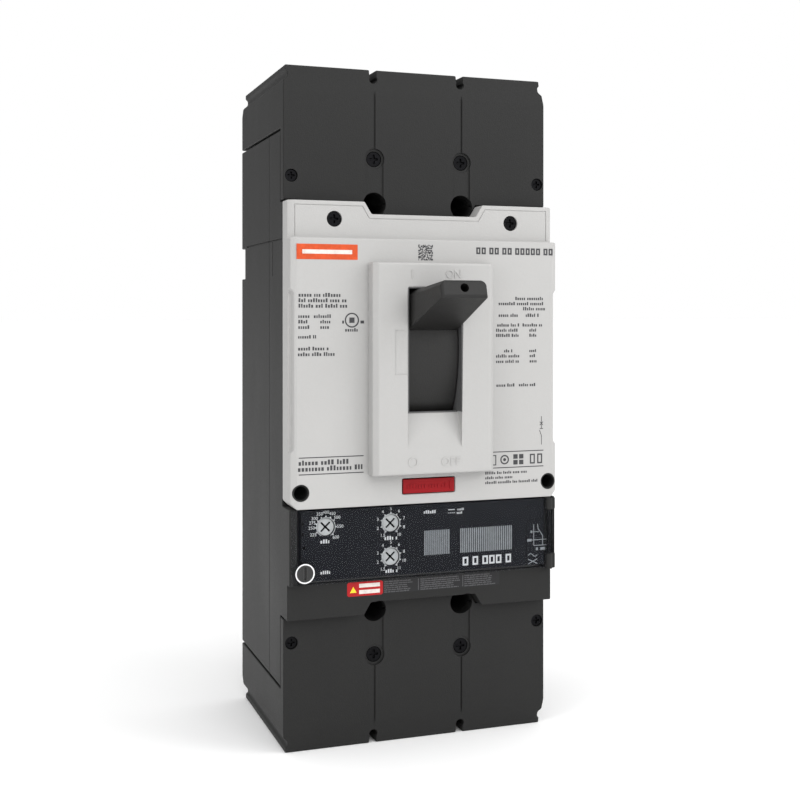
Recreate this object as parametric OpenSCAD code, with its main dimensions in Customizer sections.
// Three-pole molded case breaker with terminal covers and an electronic trip unit.
// X runs across the poles, +Y towards the mounting panel, +Z up. The origin is the centre of
// the rear mounting face. Depths are counted forwards from that face, so a depth d lies at y = -d.

/* [Case] */
// Width across the three poles
body_w = 140; // [139.8:0.1:140.4]
// Height over both terminal covers
body_h = 337; // [336:0.5:339]
// Height of the case between the terminal cover end boxes
core_h = 272.8; // [272:0.2:273]
// Distance between pole centres
pole_pitch = 46.67; // [46.6:0.01:46.7]
// Depth of the base, up to its seam with the middle cover
base_d = 66.5; // [66:0.1:66.8]
// Depth of the middle cover's front wall
mid_d = 94; // [93.8:0.1:94.2]
// Depth of the upper strip of the front cover
strip_d = 105; // [104.5:0.1:105.5]
// Depth of the front cover's main face
cover_d = 111; // [110.8:0.1:111.4]
// Depth of the face around the handle
frame_d = 120.5; // [120:0.1:121]
// Depth of the terminal covers
term_d = 96; // [95.8:0.1:96.4]
// Thickness of the outer walls
wall = 4; // [3.6:0.1:4.2]
// Thickness of the ribs between poles
rib = 2.4; // [2:0.1:2.8]

/* [Panel mounting] */
// Height between the mounting holes
mount_span_z = 202; // [201.5:0.5:202.5]
// Radius of a mounting hole at the rear
mount_hole_r = 3.25; // [2.75:0.05:3.5]
// Radius of the well that a mounting screw is dropped into
well_r = 6; // [5.6:0.1:6.1]

/* [Handle] */
// Depth of the handle's pivot
pivot_d = 55; // [54.8:0.1:55.2]
// Height of the handle's pivot
pivot_z = 28.7; // [28.5:0.1:28.9]
// Angle of the handle above level when on
handle_on = 16.2; // [15.8:0.1:16.6]
// Outer radius of the curved skirt that closes the slot
skirt_r = 62; // [61.8:0.1:62.2]
// Distance from the pivot to the grip's end
grip_r = 106.7; // [100:0.1:108]
// Half width of the handle slot
slot_w = 14.2; // [14:0.1:14.5]

/* [Terminals] */
// Radius of a cable bore in a lug
cable_r = 10.5; // [8:0.5:10.5]
// Half width of a lug
lug_w = 14.5; // [14:0.1:14.5]

/* [Trip unit] */
// Top of the trip unit's panel
trip_top = -48; // [-48.2:0.1:-47.8]
// Bottom of the trip unit's panel
trip_low = -82; // [-82.2:0.1:-81.8]
// Radius of a setting dial
dial_r = 4.2; // [3.8:0.1:4.2]

/* [Hidden] */

$fn = 48;
eps = 0.01;
over = 1;
gap = 0.3;
waist = 0.85;

case_grey = [0.17, 0.17, 0.18];
cover_white = [0.80, 0.80, 0.79];
copper = [0.80, 0.48, 0.32];
steel = [0.62, 0.63, 0.65];
silver = [0.86, 0.86, 0.85];
tin = [0.72, 0.73, 0.74];

// Outline and pole layout
half_w = body_w / 2;
half_h = body_h / 2;
core_z = core_h / 2;
inner_w = half_w - wall;
poles = [-pole_pitch, 0, pole_pitch];
between = pole_pitch / 2;
chamber_w = pole_pitch / 2 - rib / 2;
function chamber_x(p) = [max(p - chamber_w, -inner_w), min(p + chamber_w, inner_w)];

// Base: the back wall, the cross walls at the terminals and the mounting posts
back_wall = 5;
chamber_z = 97;
pocket_back = 19.7;
pocket_z = 105;
post_r = 8.5;
post_foot = 10;
rear_pocket_w = 15;
rear_pocket_z = [18, 84];
rear_pocket_deep = 1.2;
notch_z = [65.7, 82.4];
notch_depth = 8;
notch_in = 2.4;

// Middle cover
mid_wall = 4;
lip_z = 101.4;
term_wall_d = 89.7;
lower_front_d = 104;
lower_front_z = -84;
seam_z = 83;
seam_w = 0.8;
seam_deep = 0.6;
seam_from = 13;
short_seam_d = 74;
short_seam_z = 65.5;
mech_open = [-26, 81.5];
mech_open_w = 20.8;

// Front cover
cover_back = mid_d + gap;
skin = 3;
cover_low = -47;
notch_top_w = 31.2;
notch_low_w = 27.6;
notch_low_z = 95.4;
grip_inset = 1.6;
grip_z = [-18.4, 56.8];
side_bevel = [3.2, 1.6];
line_edge = 2.5;
line_side = 1.2;
line_w = 0.5;
line_deep = 0.35;
corner_x = 65;
corner_z = -39;
corner_r = 4.15;
sleeve_r = 4;
sleeve_bore = 3.4;
case_head_r = 3.2;
case_head_d = 87;
case_post_r = 5.2;
sleeve_d = 110.6;
corner_chamfer = 3;
case_upper_z = 60;
cover_screw_x = 46.7;
cover_screw_z = 92.6;
cover_head_r = 3.6;
cover_boss_r = 6;
screw_sink = 0.8;

// Frame around the handle
frame_w = 31.5;
frame_z = [-31.5, 71.3];
frame_bevel = 2.5;
frame_end_bevel = 0.8;
slot_z = [-2, 59.4];
scoop_d = 113.5;
scoop_z = -18.7;
liner_t = 0.5;
liner_back = 105.5;
lock_w = 6.8;
lock_deep = 0.5;
lock_z = [17, 38.7];

// Terminal covers
end_z = core_z + 1.2;
plate_t = 6;
plate_z = 102.2;
bevel_z = 155;
bevel_in = 3;
edge_screw_x = 65.9;
edge_screw_z = 114;
edge_head_r = 2.95;
pole_screw_z = 123.6;
pole_head_r = 3.7;
pole_rim_r = 5.2;
edge_boss_r = 4;
pole_boss_r = 4.5;
barrier_z = 163.5;
barrier_r = 2.2;
barrier_slot = 3.5;
groove_w = 1;
groove_deep = 0.7;
wide_groove = 9.4;
cable_way = [16, 86];
cable_way_w = 20.5;
end_steps = [[0, 156], [0.5, 160.8], [2.6, 162.6], [2.6, 165], [1.6, 165.8]];
end_in = 1.6;

// Conductors
bar_w = 13;
bar_d = [20, 26];
bar_end = 134;
fixed_low = 50;
contact_z = [54, 64];
contact_t = 3;
lug_z = [105.3, 134];
lug_step_z = 119.5;
lug_step_d = 56;
lug_front = 86;
barrel_d = [38, 68];
clamp_out = [1.4, 2];
clamp_z = [127, 112];
clamp_r = 5.5;

// Contacts and mechanism, as [depth, height] of each pivot
shaft_at = [42, 8];
shaft_r = 6.5;
fit = 0.06;
arm_w = 4;
arm_top = 66;
jaw_x = [4.5, 8];
ear_x = [8.5, 11];
low_link_x = [11.3, 12.8];
top_link_x = [13.1, 14.6];
cradle_x = [14.9, 16.4];
yoke_x = [16.7, 18.2];
plate_x = [18.6, 20.1];
cradle_top = [80, 30];
cradle_foot = [72, -8];
ear_pin = [50, 18];
toggle_at = [59.47, 19.63];
pin_r = 2;
open_pin_r = 3;
hinge_pin_r = 3;
latch_at = [64, -22];
latch_tip = [74, -17.3];
latch_tail = [66.5, -27.5];
cradle_hook = [75, -13];
yoke_r = [46, 49];
yoke_half = 6;
skirt_t = 4;
skirt_w = 13.3;
skirt_up = 49;
skirt_down = 50;
grip_from = 59;
sweep_r = skirt_r + 0.8;
spring_x = 7.5;
grip_root = [-7.8, 12];
grip_tip = [-4.6, 3.9];
grip_root_w = 13.2;
grip_tip_w = 11.5;
grip_bevel = 1.1;
grip_corner = 2.4;
tip_hole_r = 2.1;
tip_hole_deep = 12;
chute_z = [68, 91.5];
chute_d = [31, 63];
chute_w = 18.5;
chute_plates = 7;

// Trip bar, button and trip unit
bar_at = [70, -32.5];
trip_bar_r = 2.5;
trip_bar_w = 60;
paddle_w = 5;
paddle_z = -42;
button_w = 13.5;
button_z = [-41.7, -34.7];
button_back = 101;
stem_w = 3;
stem_z = [-41.5, -39.2];
stem_end = 71.9;
solenoid_x = 38;
solenoid_z = -39;
panel_w = 64.2;
panel_d = [104, 108];
dial_sink = 0.8;
unit_w = 62;
unit_back = 50;
unit_wall = 2;
board_d = [94, 95.6];
dials = [[-51.9, -56.3], [-18.8, -56.3], [-18.8, -72.8]];
sensor_z = [-74, -52];
sensor_d = [8, 44];
sensor_w = 18.5;
window_d = [108.6, 111];
hinge_x = 66.4;
hinge_d = 108.9;
hinge_r = 1.9;
hinge_bore = 1.06;
cheek_x = 68.7;
hinge_pin = 1;
knuckle_z = [-76, -54];
window_screw_at = [-63.1, -77.4];
window_screw_r = 4;

// Box between two widths, two depths and two heights
module block(x, d, z) translate([x[0], -d[1], z[0]])
    cube([x[1] - x[0], d[1] - d[0], z[1] - z[0]]);

// Extrudes a side outline, drawn as [-depth, height], between two widths
module side_plate(x) translate([x[0], 0, 0]) rotate([90, 0, 90])
    linear_extrude(x[1] - x[0]) children();

// Extrudes a front outline, drawn as [width, height], between two depths
module front_plate(d) translate([0, -d[0], 0]) rotate([90, 0, 0])
    linear_extrude(d[1] - d[0]) children();

// Round bar along the width, centred on a [depth, height]
module rod_x(at, r, x) translate([x[0], -at[0], at[1]]) rotate([0, 90, 0])
    cylinder(r = r, h = x[1] - x[0]);

// Round bar along the depth, centred on a [width, height]
module rod_y(at, r, d) translate([at[0], -d[0], at[1]]) rotate([90, 0, 0])
    cylinder(r = r, h = d[1] - d[0]);

// Repeats on the left and right
module both_sides() {
    children();
    mirror([1, 0, 0]) children();
}

// Repeats at the top and bottom
module both_ends() {
    children();
    mirror([0, 0, 1]) children();
}

// Bar with round eyes at its ends, between two [depth, height] points
module link_bar(a, b, r, x) {
    rod_x(a, r, x);
    rod_x(b, r, x);
    run = [a[0] - b[0], b[1] - a[1]];
    translate([x[0], -a[0], a[1]]) rotate([atan2(run[1], run[0]), 0, 0])
        translate([0, 0, -waist * r]) cube([x[1] - x[0], norm(run), 2 * waist * r]);
}

// Screw along the depth: a head with a cross recess, and a shank
module cross_screw(at, head_r, face, head_t, shank_r, foot) {
    difference() {
        union() {
            rod_y(at, head_r, [face - head_t, face]);
            rod_y(at, shank_r, [foot, face - head_t + eps]);
        }
        for (turn = [0, 90]) translate([at[0], -face, at[1]]) rotate([0, turn, 0])
            cube([head_r * 1.2, head_t, head_r * 0.28], center = true);
    }
}

// Wells for the panel mounting screws
module mount_wells(r, d) both_ends() both_sides()
    rod_y([between, mount_span_z / 2], r, d);

// Pole chambers between the cross walls
module chambers(d) for (p = poles) block(chamber_x(p), d, [-chamber_z, chamber_z]);

// Terminal pockets, open at the ends
module pockets(d) both_ends() for (p = poles) block(chamber_x(p), d, [pocket_z, core_z + over]);

// Space that the turning handle, its skirt and its yoke need
module handle_sweep(w) rod_x([pivot_d, pivot_z], sweep_r, [-w, w]);

// Cavity of the trip unit
module trip_cavity(d) block([-inner_w, inner_w], d, [lower_front_z, trip_top + 0.7]);

module base_housing() color(case_grey) difference() {
    union() {
        difference() {
            block([-half_w, half_w], [0, base_d], [-core_z, core_z]);
            chambers([back_wall, base_d + over]);
            pockets([pocket_back, base_d + over]);
        }
        mount_wells(post_r, [0, base_d]);
        for (z = [corner_z, case_upper_z]) both_sides() intersection() {
            rod_y([corner_x, z], case_post_r, [back_wall - eps, base_d]);
            block([0, half_w], [0, base_d], [-core_z, core_z]);
        }
    }
    mount_wells(well_r, [post_foot, base_d + over]);
    mount_wells(mount_hole_r, [-over, post_foot + over]);
    both_ends() for (p = poles)
        block([p - bar_w - gap, p + bar_w + gap], [bar_d[0], bar_d[1] + gap],
            [chamber_z - over, pocket_z + over]);
    both_sides() side_plate([chamber_w - over, chamber_w + rib + over]) {
        translate([-shaft_at[0], shaft_at[1]]) circle(r = shaft_r + 0.5);
        translate([-base_d - over, shaft_at[1] - shaft_r - 0.5])
            square([base_d + over - shaft_at[0], 2 * shaft_r + 1]);
    }
    block([-inner_w, inner_w], [unit_back - gap, base_d + over], [lower_front_z, trip_top + 0.7]);
    for (z = [corner_z, case_upper_z]) both_sides()
        rod_y([corner_x, z], pin_r, [base_d - 25, base_d + over]);
    both_sides() block([half_w - notch_in, half_w + over], [-over, notch_depth], notch_z);
    both_ends() for (p = poles) block([p - rear_pocket_w, p + rear_pocket_w],
        [-over, rear_pocket_deep], rear_pocket_z);
    both_sides() block([half_w - seam_deep, half_w + over], [seam_from, base_d + over],
        [seam_z - seam_w / 2, seam_z + seam_w / 2]);
}

// Outer blocks of the middle cover, lower under the terminal covers
module mid_blocks() {
    block([-half_w, half_w], [base_d, mid_d], [-lip_z, lip_z]);
    block([-half_w, half_w], [base_d, term_wall_d], [-core_z, core_z]);
}

module mid_cover() color(case_grey) difference() {
    union() {
        difference() {
            union() {
                mid_blocks();
                block([-half_w, half_w], [mid_d - eps, lower_front_d], [-lip_z, lower_front_z]);
                both_sides() block([inner_w, half_w], [mid_d - eps, lower_front_d],
                    [lower_front_z - eps, trip_top + 0.7]);
            }
            chambers([base_d - over, mid_d - mid_wall]);
            pockets([base_d - over, mid_d + over]);
        }
        intersection() {
            mount_wells(post_r, [base_d, mid_d - eps]);
            mid_blocks();
        }
        for (z = [corner_z, case_upper_z]) both_sides() intersection() {
            rod_y([corner_x, z], case_post_r, [base_d, mid_d - eps]);
            block([0, half_w], [0, mid_d], [-core_z, core_z]);
        }
        both_ends() both_sides() intersection() {
            union() {
                rod_y([edge_screw_x, edge_screw_z], edge_boss_r, [base_d, term_wall_d]);
                rod_y([between, pole_screw_z], pole_boss_r, [base_d, term_wall_d]);
            }
            block([0, half_w], [0, mid_d], [0, core_z]);
        }
        both_sides() rod_y([cover_screw_x, cover_screw_z], pole_boss_r, [mid_d - 10, mid_d - eps]);
        both_sides() rod_y([corner_x, corner_z], sleeve_r, [mid_d - eps, sleeve_d]);
        both_sides() block([cheek_x, half_w], [lower_front_d - eps, panel_d[1] + gap],
            [lower_front_z - eps, trip_top + 0.7]);
        block([-half_w, -inner_w], [lower_front_d - eps, panel_d[1] + gap],
            [lower_front_z - eps, trip_top + 0.7]);
        for (z = [[lower_front_z, knuckle_z[0] - 0.4], [knuckle_z[1] + 0.4, trip_top]]) {
            hinge_barrel(z);
            block([hinge_x - 1.5, half_w - eps], [lower_front_d - eps, hinge_d], z);
        }
    }
    mount_wells(well_r, [base_d - over, lower_front_d + over]);
    trip_cavity([base_d - over, lower_front_d + over]);
    translate([hinge_x, -hinge_d, lower_front_z + over]) cylinder(r = hinge_bore, h = 50);
    block([-mech_open_w, mech_open_w], [mid_d - mid_wall - over, mid_d + over], mech_open);
    block([-stem_w - 0.5, stem_w + 0.5], [mid_d - mid_wall - over, mid_d + over],
        [stem_z[0] - 0.5, stem_z[1] + 0.5]);
    for (z = [corner_z, case_upper_z]) both_sides() {
        rod_y([corner_x, z], sleeve_bore, [mid_d - 10, cover_d]);
        rod_y([corner_x, z], pin_r + 0.2, [base_d - over, mid_d]);
    }
    both_ends() both_sides() {
        rod_y([edge_screw_x, edge_screw_z], 1.5, [base_d + 8, mid_d]);
        rod_y([between, pole_screw_z], pin_r, [base_d + 8, mid_d]);
    }
    both_sides() rod_y([cover_screw_x, cover_screw_z], 1.8, [mid_d - 12, mid_d + over]);
    rod_x(bar_at, trip_bar_r + 0.5, [-inner_w - eps, inner_w + eps]);
    front_plate([mid_d - over, lower_front_d + over]) mirror([0, 1]) notch_outline();
    both_sides() block([half_w - seam_deep, half_w + over], [base_d - over, mid_d + over],
        [seam_z - seam_w / 2, seam_z + seam_w / 2]);
    both_sides() block([half_w - seam_deep, half_w + over],
        [short_seam_d - seam_w / 2, short_seam_d + seam_w / 2], [short_seam_z, seam_z]);
}

// Cut in the edge of a front face that clears the two mounting wells
module notch_outline() polygon([[-notch_low_w, notch_low_z], [notch_low_w, notch_low_z],
    [notch_top_w, lip_z], [notch_top_w, lip_z + over], [-notch_top_w, lip_z + over],
    [-notch_top_w, lip_z]]);

// Outline of the strip above the main face
module strip_outline(inset) difference() {
    translate([-half_w + inset + line_side, seam_z + over])
        square([body_w - 2 * (inset + line_side), lip_z - seam_z - inset - over]);
    offset(delta = inset) notch_outline();
}

// Outline of the front cover's main face
module face_outline() polygon([[-half_w, cover_low + corner_chamfer],
    [-half_w + corner_chamfer, cover_low], [half_w - corner_chamfer, cover_low],
    [half_w, cover_low + corner_chamfer], [half_w, grip_z[0] - grip_inset],
    [half_w - grip_inset, grip_z[0]], [half_w - grip_inset, grip_z[1]],
    [half_w, grip_z[1] + grip_inset], [half_w, seam_z], [-half_w, seam_z],
    [-half_w, grip_z[1] + grip_inset], [-half_w + grip_inset, grip_z[1]],
    [-half_w + grip_inset, grip_z[0]], [-half_w, grip_z[0] - grip_inset]]);

// Block as wide as the case whose front edges are bevelled at the sides
module side_bevelled(d, z) translate([0, 0, z[0]]) linear_extrude(z[1] - z[0])
    polygon([[-half_w, -cover_back], [-half_w, -d + side_bevel[1]],
        [-half_w + side_bevel[0], -d], [half_w - side_bevel[0], -d],
        [half_w, -d + side_bevel[1]], [half_w, -cover_back]]);

module front_cover() color(cover_white) difference() {
    union() {
        difference() {
            union() {
                intersection() {
                    union() {
                        front_plate([cover_back, strip_d]) hull() face_outline();
                        front_plate([strip_d - eps, cover_d]) face_outline();
                    }
                    side_bevelled(cover_d, [cover_low, seam_z]);
                }
                intersection() {
                    front_plate([cover_back, strip_d]) difference() {
                        translate([-half_w, seam_z - eps]) square([body_w, lip_z - seam_z]);
                        notch_outline();
                    }
                    side_bevelled(strip_d, [seam_z - eps, lip_z]);
                }
            }
            block([-inner_w, inner_w], [cover_back - over, cover_d - skin],
                [cover_low + skin, seam_z - skin]);
            both_sides() block([notch_top_w + skin, inner_w], [cover_back - over, strip_d - skin],
                [seam_z, lip_z - skin]);
        }
        both_sides() intersection() {
            rod_y([corner_x, corner_z], corner_r + 1.5, [cover_back, cover_d - eps]);
            side_bevelled(cover_d, [cover_low, seam_z]);
        }
        both_sides() rod_y([cover_screw_x, cover_screw_z], cover_boss_r, [cover_back, strip_d - eps]);
    }
    block([-frame_w + skin, frame_w - skin], [cover_d - skin - over, cover_d + over],
        [frame_z[0] + skin, frame_z[1] - skin]);
    block([-button_w - 0.4, button_w + 0.4], [cover_d - skin - over, cover_d + over],
        [button_z[0] - 0.4, button_z[1] + 0.4]);
    both_sides() rod_y([corner_x, corner_z], corner_r, [cover_back - over, cover_d + over]);
    both_sides() {
        rod_y([cover_screw_x, cover_screw_z], cover_head_r + gap, [strip_d - 4, strip_d + over]);
        rod_y([cover_screw_x, cover_screw_z], 2.2, [cover_back - over, strip_d]);
    }
    front_plate([strip_d - line_deep, strip_d + over]) difference() {
        strip_outline(line_edge - line_w);
        strip_outline(line_edge);
    }
}

module handle_escutcheon() color(cover_white) difference() {
    intersection() {
        side_plate([-frame_w, frame_w]) polygon([[-cover_d, frame_z[0]],
            [-frame_d + frame_end_bevel, frame_z[0]], [-frame_d, frame_z[0] + frame_end_bevel],
            [-frame_d, frame_z[1] - frame_end_bevel], [-frame_d + frame_end_bevel, frame_z[1]],
            [-cover_d, frame_z[1]]]);
        translate([0, 0, frame_z[0]]) linear_extrude(frame_z[1] - frame_z[0])
            polygon([[-frame_w, -cover_d], [-frame_w, -frame_d + frame_bevel],
                [-frame_w + frame_bevel, -frame_d], [frame_w - frame_bevel, -frame_d],
                [frame_w, -frame_d + frame_bevel], [frame_w, -cover_d]]);
    }
    difference() {
        block([-frame_w + skin, frame_w - skin], [cover_d - over, frame_d - skin],
            [frame_z[0] + skin, frame_z[1] - skin]);
        block([-slot_w - skin, slot_w + skin], [cover_d - 2 * over, frame_d],
            [scoop_z - skin, slot_z[1] + skin]);
    }
    block([-slot_w, slot_w], [cover_d - over, frame_d + over], slot_z);
    block([-slot_w - lock_w, -slot_w + over], [frame_d - lock_deep, frame_d + over], lock_z);
    handle_sweep(slot_w);
    side_plate([-slot_w, slot_w]) polygon([[-scoop_d, slot_z[0] + over],
        [-scoop_d, slot_z[0]], [-frame_d, scoop_z], [-frame_d - over, scoop_z],
        [-frame_d - over, slot_z[0] + over]]);
}

// Dark collar that lines the handle slot
module slot_liner() color(case_grey) difference() {
    block([-slot_w, slot_w], [liner_back, frame_d - 0.3], slot_z);
    block([-slot_w + liner_t, slot_w - liner_t], [liner_back - over, frame_d + over],
        [slot_z[0] + liner_t, slot_z[1] - liner_t]);
    handle_sweep(slot_w - liner_t + eps);
    side_plate([-slot_w - over, slot_w + over]) polygon([[-scoop_d, slot_z[0] - over],
        [-scoop_d, slot_z[0] + liner_t], [-frame_d - over, slot_z[0] + liner_t],
        [-frame_d - over, slot_z[0] - over]]);
}

// Outline of a terminal cover seen from the front
module term_front_outline() {
    right = [for (p = end_steps) [half_w - p[0], p[1]]];
    left = [for (i = [len(end_steps) - 1 : -1 : 0]) [end_steps[i][0] - half_w, end_steps[i][1]]];
    polygon(concat([[-half_w, plate_z], [half_w, plate_z]], right,
        [[half_w - end_in, half_h], [end_in - half_w, half_h]], left));
}

// Outline of a terminal cover seen from the side: an end box behind a long front plate
module term_side_outline() polygon(concat([[0, end_z], [-term_d + plate_t, end_z],
    [-term_d + plate_t, plate_z], [-term_d, plate_z], [-term_d, bevel_z],
    [-term_d + bevel_in, half_h], [-end_in, half_h]],
    [for (i = [len(end_steps) - 1 : -1 : 0]) [-end_steps[i][0], end_steps[i][1]]]));

// Tongue that fills the notch of the front cover between the two mounting wells
module term_tongue() front_plate([mid_d + gap, term_d]) polygon([
    [-notch_low_w + gap, notch_low_z + gap], [notch_low_w - gap, notch_low_z + gap],
    [notch_top_w - gap, lip_z], [notch_top_w - gap, plate_z + eps],
    [-notch_top_w + gap, plate_z + eps], [-notch_top_w + gap, lip_z]]);

module terminal_cover() difference() {
    union() {
        intersection() {
            front_plate([0, term_d]) term_front_outline();
            side_plate([-half_w, half_w]) term_side_outline();
        }
        term_tongue();
    }
    for (p = poles)
        block([max(p - cable_way_w, -inner_w), min(p + cable_way_w, inner_w)], cable_way,
            [end_z - over, half_h + over]);
    both_sides() {
        rod_y([edge_screw_x, edge_screw_z], edge_head_r + 0.25, [term_d - 3.5, term_d + over]);
        rod_y([edge_screw_x, edge_screw_z], 1.8, [term_d - plate_t - over, term_d]);
        rod_y([between, pole_screw_z], pole_head_r + 0.25, [term_d - 4, term_d + over]);
        rod_y([between, pole_screw_z], pole_rim_r, [term_d - 1.2, term_d + over]);
        rod_y([between, pole_screw_z], 2.3, [term_d - plate_t - over, term_d]);
        rod_y([between, barrier_z], barrier_r, [-over, term_d + over]);
        block([between - barrier_slot / 2, between + barrier_slot / 2], [-over, term_d + over],
            [barrier_z, half_h + over]);
        block([between - groove_w / 2, between + groove_w / 2],
            [term_d - groove_deep, term_d + over], [pole_screw_z + pole_rim_r - over, barrier_z]);
        block([between - wide_groove / 2, between + wide_groove / 2],
            [term_d - groove_deep, term_d + over], [notch_low_z, pole_screw_z]);
        rod_y([between, mount_span_z / 2], well_r, [term_d - plate_t - over, term_d + over]);
    }
}

module top_terminal_cover() color(case_grey) terminal_cover();

module bottom_terminal_cover() color(case_grey) mirror([0, 0, 1]) terminal_cover();

module front_cover_screws() color(case_grey) both_sides()
    cross_screw([cover_screw_x, cover_screw_z], cover_head_r, strip_d - screw_sink, 2.8, 1.7,
        mid_d - 8);

module case_screws() color(steel) for (z = [corner_z, case_upper_z]) both_sides()
    cross_screw([corner_x, z], case_head_r, case_head_d, 2.6, 1.9, base_d - 22);

module terminal_cover_screws() color(case_grey) both_ends() both_sides()
    cross_screw([edge_screw_x, edge_screw_z], edge_head_r, term_d - screw_sink, 2.4, 1.4,
        base_d + 10);

module terminal_cover_pole_screws() color(case_grey) both_ends() both_sides()
    cross_screw([between, pole_screw_z], pole_head_r, term_d - 1.4, 2.4, 1.9, base_d + 10);

// Two-barrel lug whose front barrel steps back to leave room for the rear clamp screw
module lug(p) difference() {
    union() {
        block([p - lug_w, p + lug_w], [bar_d[1], lug_step_d], lug_z);
        block([p - lug_w, p + lug_w], [lug_step_d - eps, lug_front], [lug_z[0], lug_step_z]);
    }
    for (d = barrel_d) translate([p, -d, lug_z[0] - over])
        cylinder(r = cable_r, h = lug_z[1] - lug_z[0] + 2 * over);
    rod_y([p, clamp_z[0]], clamp_r + fit, [barrel_d[0], lug_step_d + over]);
    rod_y([p, clamp_z[1]], clamp_r + fit, [barrel_d[1], lug_front + over]);
}

module line_lug(p) color(tin) lug(p);

module load_lug(p) color(tin) mirror([0, 0, 1]) lug(p);

// Clamp screw with a hexagon socket
module clamp_screw(at, d) difference() {
    rod_y(at, clamp_r, d);
    translate([at[0], -d[1] - over, at[1]]) rotate([-90, 0, 0])
        cylinder(r = clamp_r * 0.6, h = 5 + over, $fn = 6);
}

module lug_clamp_screws() color(steel) both_ends() for (p = poles) {
    clamp_screw([p, clamp_z[0]], [barrel_d[0] + cable_r + 0.2, lug_step_d + clamp_out[0]]);
    clamp_screw([p, clamp_z[1]], [barrel_d[1] + cable_r + 0.2, lug_front + clamp_out[1]]);
}

module line_terminal(p) color(copper)
    block([p - bar_w, p + bar_w], bar_d, [fixed_low, bar_end]);

// Load side bar with two jaws that the contact arm's hub turns between
module load_terminal(p) color(copper) difference() {
    union() {
        block([p - bar_w, p + bar_w], bar_d, [-bar_end, shaft_at[1] - 12]);
        for (x = [[p - jaw_x[1], p - jaw_x[0]], [p + jaw_x[0], p + jaw_x[1]]])
            side_plate(x) polygon([[-bar_d[0], -30], [-bar_d[1], -30],
                [-shaft_at[0] - 9, shaft_at[1] - 9], [-shaft_at[0] - 9, shaft_at[1] + 9],
                [-shaft_at[0] + 9, shaft_at[1] + 9], [-bar_d[0], shaft_at[1] - 6]]);
    }
    rod_x(shaft_at, shaft_r + 0.5, [p - jaw_x[1] - over, p + jaw_x[1] + over]);
}

module fixed_contacts() color(silver) for (p = poles)
    block([p - arm_w, p + arm_w], [bar_d[1], bar_d[1] + contact_t], contact_z);

module moving_contacts() color(silver) for (p = poles)
    block([p - arm_w, p + arm_w],
        [bar_d[1] + contact_t + gap, bar_d[1] + 2 * contact_t + gap], contact_z);

module contact_arm(p) color(copper) difference() {
    side_plate([p - arm_w, p + arm_w]) {
        translate([-shaft_at[0], shaft_at[1]]) circle(r = 10);
        polygon([[-shaft_at[0] + 9, shaft_at[1] - 2], [-shaft_at[0] - 9, shaft_at[1] - 2],
            [-shaft_at[0] - 3, arm_top - 12], [-shaft_at[0] + 1, arm_top],
            [-bar_d[1] - 2 * contact_t - gap, arm_top],
            [-bar_d[1] - 2 * contact_t - gap, contact_z[0] - 3]]);
    }
    rod_x(shaft_at, shaft_r + fit, [p - arm_w - over, p + arm_w + over]);
}

module crossbar() color([0.34, 0.20, 0.14]) {
    rod_x(shaft_at, shaft_r, [-inner_w + 0.6, inner_w - 0.6]);
    both_sides() {
        link_bar(shaft_at, ear_pin, 4, ear_x);
        rod_x(ear_pin, pin_r, [ear_x[1] - eps, low_link_x[1] + 0.1]);
    }
    for (p = poles) for (s = [-1, 1])
        if (p != 0) rod_x(shaft_at, 9, s > 0 ? [p + 10, p + 14] : [p - 14, p - 10]);
}

module arc_chute(p) {
    step = (chute_d[1] - chute_d[0] - 3) / (chute_plates - 1);
    color(steel) for (i = [0 : chute_plates - 1])
        front_plate([chute_d[0] + i * step, chute_d[0] + i * step + 1.5]) difference() {
            translate([p - chute_w + 1.2, chute_z[0]])
                square([2 * (chute_w - 1.2), chute_z[1] - chute_z[0]]);
            polygon([[p - 7, chute_z[0] - over], [p + 7, chute_z[0] - over],
                [p + 1.5, chute_z[0] + 11], [p - 1.5, chute_z[0] + 11]]);
        }
    color([0.55, 0.30, 0.20]) for (x = [p - chute_w, p + chute_w - 1.2])
        block([x, x + 1.2], [chute_d[0] - 1, chute_d[1]], chute_z);
}

module mechanism_frame() color(steel) {
    both_sides() difference() {
        side_plate(plate_x) polygon([[-back_wall, 4], [-back_wall, -20], [-56, -20],
            [-58, -27], [-70, -27], [-72, -20], [-88, -20], [-88, 45], [-84, 64],
            [-66, 64], [-30, 40], [-30, 4]]);
        rod_x(shaft_at, shaft_r + fit, [plate_x[0] - over, plate_x[1] + over]);
        rod_x(cradle_foot, hinge_pin_r + fit, [plate_x[0] - over, plate_x[1] + over]);
        rod_x(latch_at, pin_r + fit, [plate_x[0] - over, plate_x[1] + over]);
    }
    both_sides() rod_x([pivot_d, pivot_z], hinge_pin_r, [yoke_x[0] - 0.15, plate_x[0] + eps]);
    for (tie = [[80, 59], [84, -16]]) rod_x(tie, 2.2, [-plate_x[0] - eps, plate_x[0] + eps]);
}

module handle_yoke() color(steel) translate([0, -pivot_d, pivot_z]) rotate([-handle_on, 0, 0])
    translate([0, pivot_d, -pivot_z]) difference() {
        both_sides() {
            link_bar([pivot_d, pivot_z], [pivot_d + yoke_r[0] - 6, pivot_z], yoke_half, yoke_x);
            block(yoke_x, [pivot_d + yoke_r[0] - 8, pivot_d + yoke_r[1]],
                [pivot_z - yoke_half, pivot_z + yoke_half]);
            block([-eps, yoke_x[1]], pivot_d * [1, 1] + yoke_r,
                [pivot_z - yoke_half, pivot_z + yoke_half]);
        }
        rod_x([pivot_d, pivot_z], hinge_pin_r + fit, [-half_w, half_w]);
    }

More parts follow.
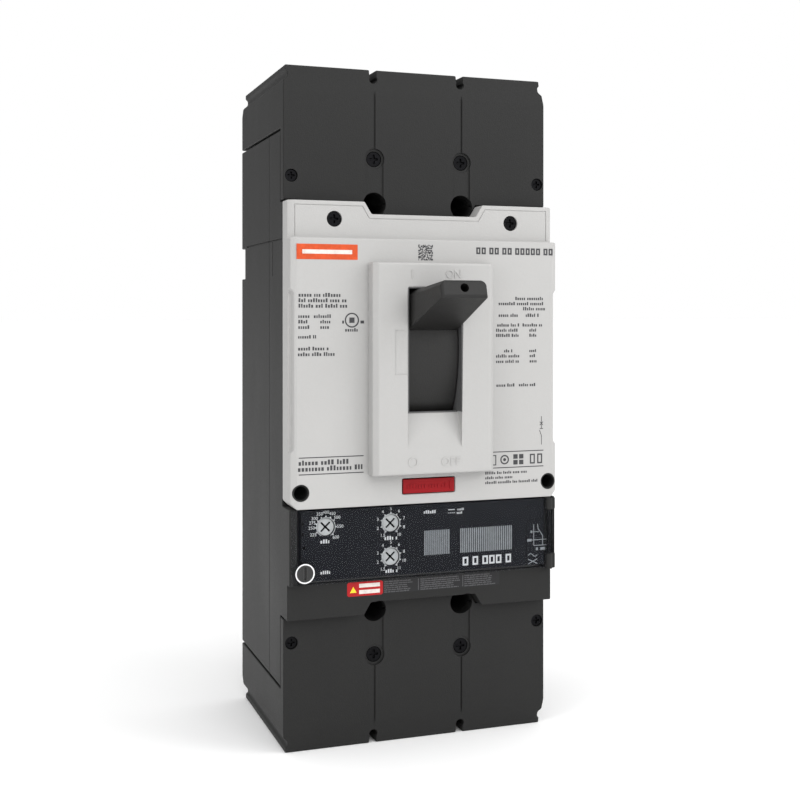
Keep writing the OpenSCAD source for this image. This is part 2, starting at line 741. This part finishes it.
// Curved skirt, in the handle's own frame with the grip along -Y
module skirt() intersection() {
    difference() {
        rod_x([0, 0], skirt_r, [-skirt_w, skirt_w]);
        rod_x([0, 0], skirt_r - skirt_t, [-skirt_w - over, skirt_w + over]);
    }
    side_plate([-skirt_w - over, skirt_w + over]) polygon([[0, 0],
        2 * skirt_r * [-cos(skirt_up), sin(skirt_up)], 2 * skirt_r * [-1, 0.5],
        2 * skirt_r * [-1, -0.5], 2 * skirt_r * [-cos(skirt_down), -sin(skirt_down)]]);
}

// Tapered grip, in the handle's own frame, with its two upper edges chamfered
module grip() difference() {
    intersection() {
        side_plate([-grip_root_w, grip_root_w]) polygon([[-grip_from, grip_root[0]],
            [-grip_from, grip_root[1]], [-grip_r + grip_bevel, grip_tip[1]],
            [-grip_r, grip_tip[1] - grip_bevel], [-grip_r, grip_tip[0] + grip_bevel],
            [-grip_r + grip_bevel, grip_tip[0]]]);
        translate([0, 0, grip_root[0]]) linear_extrude(grip_root[1] - grip_root[0])
            polygon([[-grip_root_w, -grip_from], [-grip_tip_w, -grip_r + grip_bevel],
                [-grip_tip_w + grip_bevel, -grip_r], [grip_tip_w - grip_bevel, -grip_r],
                [grip_tip_w, -grip_r + grip_bevel], [grip_root_w, -grip_from]]);
    }
    both_sides() grip_corner_cut();
}

// Space beyond the chamfer along the grip's upper right edge
module grip_corner_cut() {
    run = [grip_root_w - grip_tip_w, grip_r - grip_from, grip_root[1] - grip_tip[1]];
    translate([grip_tip_w, -grip_r, grip_tip[1]])
        rotate([asin(run[2] / norm(run)), 0, -atan2(run[0], run[1])]) rotate([0, 45, 0])
            translate([-grip_tip_w / 2, -over, -grip_corner / sqrt(2)])
                cube([grip_tip_w, grip_r, grip_tip_w]);
}

module handle() color([0.13, 0.13, 0.13]) translate([0, -pivot_d, pivot_z])
    rotate([-handle_on, 0, 0]) difference() {
        union() {
            skirt();
            grip();
            block([-10, 10], [yoke_r[1], skirt_r - 1], [-yoke_half, yoke_half]);
        }
        rod_y([0, 0], tip_hole_r, [grip_r - tip_hole_deep, grip_r + over]);
    }

// Latched lever that carries the upper links
module cradle() color(steel) {
    both_sides() {
        link_bar(cradle_foot, cradle_top, 4, cradle_x);
        link_bar(cradle_foot, cradle_hook, 2.5, cradle_x);
        rod_x(cradle_top, pin_r, [top_link_x[0] - 0.1, cradle_x[0] + eps]);
    }
    rod_x(cradle_foot, hinge_pin_r, [-plate_x[1], plate_x[1]]);
}

module link_pair(a, b, x, hole_a, hole_b) both_sides() difference() {
    link_bar(a, b, 4.2, x);
    rod_x(a, hole_a, [x[0] - over, x[1] + over]);
    rod_x(b, hole_b, [x[0] - over, x[1] + over]);
}

module upper_links() color(tin)
    link_pair(cradle_top, toggle_at, top_link_x, pin_r + fit, pin_r + fit);

module toggle_pin() color(steel) rod_x(toggle_at, pin_r, [-top_link_x[1], top_link_x[1]]);

module lower_links() color(tin)
    link_pair(toggle_at, ear_pin, low_link_x, pin_r + fit, open_pin_r);

// Coil spring along +Z as a swept ring of points
module coil(length, mean_r, wire_r, turns) {
    sides = 8;
    rings = 12 * turns;
    points = [for (i = [0 : rings], k = [0 : sides - 1])
        let (a = 30 * i, t = 360 * k / sides, r = mean_r + wire_r * cos(t))
        [r * cos(a), r * sin(a), wire_r + (length - 2 * wire_r) * i / rings + wire_r * sin(t)]];
    walls = [for (i = [0 : rings - 1], k = [0 : sides - 1], half = [0, 1])
        let (n = (k + 1) % sides, a = i * sides, b = a + sides)
        half == 0 ? [a + k, b + k, b + n] : [a + k, b + n, a + n]];
    polyhedron(points, concat(walls, [[for (k = [0 : sides - 1]) k]],
        [[for (k = [sides - 1 : -1 : 0]) rings * sides + k]]), convexity = 10);
}

module main_springs() color(steel) {
    top = [pivot_d, pivot_z] + (yoke_r[0] - 0.3) * [cos(handle_on), sin(handle_on)];
    run = top - toggle_at;
    both_sides() translate([spring_x, -toggle_at[0], toggle_at[1]])
        rotate([90 - atan2(run[1], run[0]), 0, 0]) translate([0, 0, pin_r + 0.4])
            coil(norm(run) - pin_r - 0.4, 2.6, 0.7, 7);
}

module latch() color(steel) {
    both_sides() {
        link_bar(latch_at, latch_tip, 1.5, cradle_x);
        link_bar(latch_at, latch_tail, 1.5, cradle_x);
        rod_x(latch_at, 3.4, cradle_x);
    }
    rod_x(latch_at, pin_r, [-plate_x[1], plate_x[1]]);
}

module trip_bar() color([0.20, 0.20, 0.22]) {
    rod_x(bar_at, trip_bar_r, [-trip_bar_w, trip_bar_w]);
    for (x = [0, solenoid_x])
        block([x - paddle_w, x + paddle_w], [bar_at[0] - 1, bar_at[0] + 1], [paddle_z, bar_at[1]]);
}

module trip_solenoid() color(steel) {
    rod_y([solenoid_x, solenoid_z], 6, [76, 89.8]);
    rod_y([solenoid_x, solenoid_z], 1.5, [bar_at[0] + 1.4, 76 + eps]);
}

module trip_unit_case() color([0.12, 0.12, 0.13]) difference() {
    block([-unit_w, unit_w], [unit_back, panel_d[0]], [trip_low - 1.5, trip_top - 0.5]);
    block([-unit_w + unit_wall, unit_w - unit_wall], [unit_back + unit_wall, panel_d[0] + over],
        [trip_low - 1.5 + unit_wall, trip_top - 0.5 - unit_wall]);
}

module trip_circuit_board() color([0.10, 0.35, 0.20])
    block([-unit_w + unit_wall + 1, unit_w - unit_wall - 1], board_d,
        [trip_low + 1.5, trip_top - 3.5]);

module trip_panel() color([0.15, 0.17, 0.22]) difference() {
    block([-panel_w, panel_w], panel_d, [trip_low, trip_top]);
    for (at = dials) rod_y(at, dial_r + gap, [panel_d[0] - over, panel_d[1] + over]);
    rod_y(window_screw_at, window_screw_r + 0.8, [panel_d[0] - over, panel_d[1] + over]);
}

// Setting dial with a cross slot in its face and a shaft behind it
module dial(at) color([0.72, 0.73, 0.74]) difference() {
    union() {
        rod_y(at, dial_r, [panel_d[0] + 0.5, panel_d[1] - dial_sink]);
        rod_y(at, 1.5, [board_d[1] + gap, panel_d[0] + over]);
    }
    for (turn = [45, 135]) translate([at[0], dial_sink - panel_d[1], at[1]])
        rotate([0, turn, 0]) cube([dial_r * 1.5, 1.4, 0.9], center = true);
}

module current_sensor(p) color([0.16, 0.24, 0.40]) difference() {
    block([p - sensor_w, p + sensor_w], sensor_d, sensor_z);
    block([p - bar_w - 1, p + bar_w + 1], [bar_d[0] - 2, bar_d[1] + 2],
        [sensor_z[0] - over, sensor_z[1] + over]);
}

module trip_button() color([0.65, 0.12, 0.16]) {
    block([-button_w, button_w], [button_back, cover_d + 0.2], button_z);
    block([-stem_w, stem_w], [stem_end, button_back + eps], stem_z);
}

module trip_button_spring() color(steel) both_sides()
    translate([8.5, -mid_d, (button_z[0] + button_z[1]) / 2]) rotate([90, 0, 0])
        coil(button_back - mid_d, 2.2, 0.4, 4);

// Clear window that hinges on its right edge and screws down at its lower left corner
module trip_window() color([0.80, 0.84, 0.86, 0.35]) difference() {
    union() {
        block([-half_w + 0.6, hinge_x - hinge_r - 0.6], window_d, [trip_low - 1.2, trip_top + 0.2]);
        block([hinge_x - hinge_r - 0.7, hinge_x], window_d, knuckle_z);
        hinge_barrel(knuckle_z);
    }
    translate([hinge_x, -hinge_d, trip_low - 5]) cylinder(r = hinge_bore, h = 50);
    rod_y(window_screw_at, window_screw_r + fit, [window_d[0] - over, window_d[1] + over]);
}

// Hinge barrel between two heights
module hinge_barrel(z) translate([hinge_x, -hinge_d, z[0]])
    cylinder(r = hinge_r, h = z[1] - z[0]);

module window_hinge_pin() color(steel) translate([hinge_x, -hinge_d, trip_low - 1])
    cylinder(r = hinge_pin, h = trip_top - trip_low + 1);

module window_screw() color([0.10, 0.10, 0.10]) difference() {
    union() {
        rod_y(window_screw_at, window_screw_r, [window_d[0], window_d[1] + 0.6]);
        rod_y(window_screw_at, 1.6, [panel_d[0] + 1, window_d[0] + eps]);
    }
    translate([window_screw_at[0], -window_d[1] - 0.6, window_screw_at[1]])
        cube([1.2, 2.4, window_screw_r * 1.7], center = true);
}

base_housing();
mid_cover();
front_cover();
handle_escutcheon();
slot_liner();
top_terminal_cover();
bottom_terminal_cover();
front_cover_screws();
case_screws();
terminal_cover_screws();
terminal_cover_pole_screws();
line_lug(poles[0]);  // line_lug_left
line_lug(poles[1]);  // line_lug_centre
line_lug(poles[2]);  // line_lug_right
load_lug(poles[0]);  // load_lug_left
load_lug(poles[1]);  // load_lug_centre
load_lug(poles[2]);  // load_lug_right
lug_clamp_screws();
line_terminal(poles[0]);  // line_terminal_left
line_terminal(poles[1]);  // line_terminal_centre
line_terminal(poles[2]);  // line_terminal_right
load_terminal(poles[0]);  // load_terminal_left
load_terminal(poles[1]);  // load_terminal_centre
load_terminal(poles[2]);  // load_terminal_right
fixed_contacts();
moving_contacts();
contact_arm(poles[0]);  // contact_arm_left
contact_arm(poles[1]);  // contact_arm_centre
contact_arm(poles[2]);  // contact_arm_right
crossbar();
arc_chute(poles[0]);  // arc_chute_left
arc_chute(poles[1]);  // arc_chute_centre
arc_chute(poles[2]);  // arc_chute_right
mechanism_frame();
handle();
handle_yoke();
cradle();
upper_links();
toggle_pin();
lower_links();
main_springs();
latch();
trip_bar();
trip_solenoid();
trip_unit_case();
trip_circuit_board();
trip_panel();
dial(dials[0]);  // current_dial
dial(dials[1]);  // short_time_dial
dial(dials[2]);  // instant_dial
current_sensor(poles[0]);  // current_sensor_left
current_sensor(poles[1]);  // current_sensor_centre
current_sensor(poles[2]);  // current_sensor_right
trip_button();
trip_button_spring();
trip_window();
window_hinge_pin();
window_screw();
